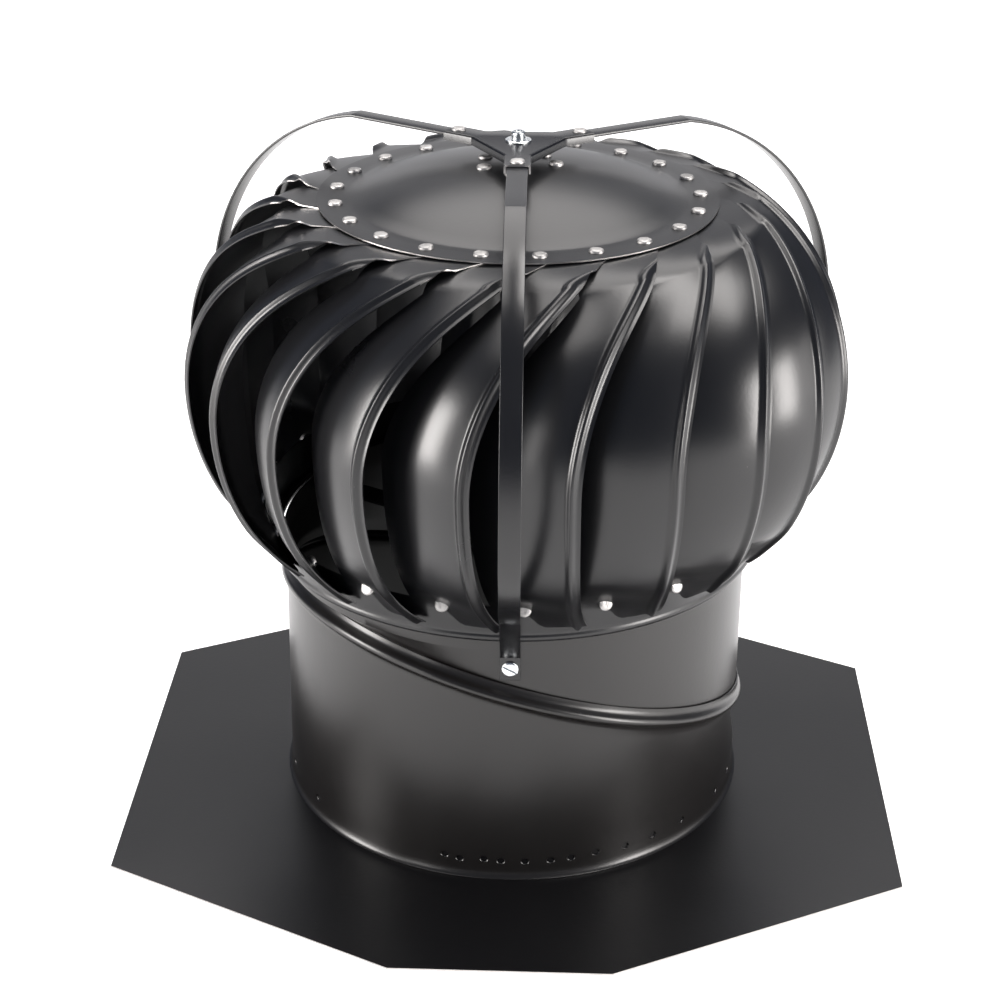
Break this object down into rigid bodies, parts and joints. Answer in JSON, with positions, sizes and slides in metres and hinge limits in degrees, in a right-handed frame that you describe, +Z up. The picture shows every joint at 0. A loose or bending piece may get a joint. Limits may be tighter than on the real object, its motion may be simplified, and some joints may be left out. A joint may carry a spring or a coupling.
{
  "type": "roof turbine ventilator",
  "caption": "Wind-driven turbine roof vent: curved blades under a domed cap, outside braces, a neck that swivels on a slanting seam to suit the roof pitch, octagonal flashing.",
  "frame": {"origin": "centre of the throat at the underside of the roof flashing", "axes": "+Z up along the rotor shaft, -Y towards the front brace, +X along the long side of the flashing"},
  "size_m": [0.508, 0.471, 0.4478],
  "materials": {
    "black_coat": "semi-gloss black powder coat",
    "flashing_coat": "satin black coat",
    "rivet_aluminium": "bright domed rivets",
    "zinc_steel": "bright zinc plate",
    "bearing_steel": "dull steel"
  },
  "bodies": {
    "base": {"roof_flashing": "flashing_coat", "flashing_collar": "flashing_coat", "lower_neck": "black_coat"},
    "upper": {"upper_neck": "black_coat", "throat_spider": "black_coat", "lower_bearing": "bearing_steel", "top_spider": "black_coat", "spider_rivets": "rivet_aluminium", "upper_bearing": "bearing_steel", "top_washer": "zinc_steel", "brace_front": "black_coat", "brace_left": "black_coat", "brace_right": "black_coat", "brace_screws": "zinc_steel"},
    "rotor": {"rotor_ring": "black_coat", "rotor_cap": "black_coat", "cap_hub": "bearing_steel", "rotor_shaft": "zinc_steel", "blade_01": "black_coat", "blade_02": "black_coat", "blade_03": "black_coat", "blade_04": "black_coat", "blade_05": "black_coat", "blade_06": "black_coat", "blade_07": "black_coat", "blade_08": "black_coat", "blade_09": "black_coat", "blade_10": "black_coat", "blade_11": "black_coat", "blade_12": "black_coat", "blade_13": "black_coat", "blade_14": "black_coat", "blade_15": "black_coat", "blade_16": "black_coat", "blade_17": "black_coat", "blade_18": "black_coat", "blade_19": "black_coat", "blade_20": "black_coat", "blade_21": "black_coat"}
  },
  "joints": [
    {"name": "neck_swivel", "type": "hinge", "parent": "base", "child": "upper", "pos_m": [0, 0, 0.107], "axis": [0.2586, 0.181, 0.9489], "continuous": true},
    {"name": "rotor_spin", "type": "hinge", "parent": "upper", "child": "rotor", "pos_m": [0, 0, 0.3], "axis": [0, 0, 1], "continuous": true}
  ]
}
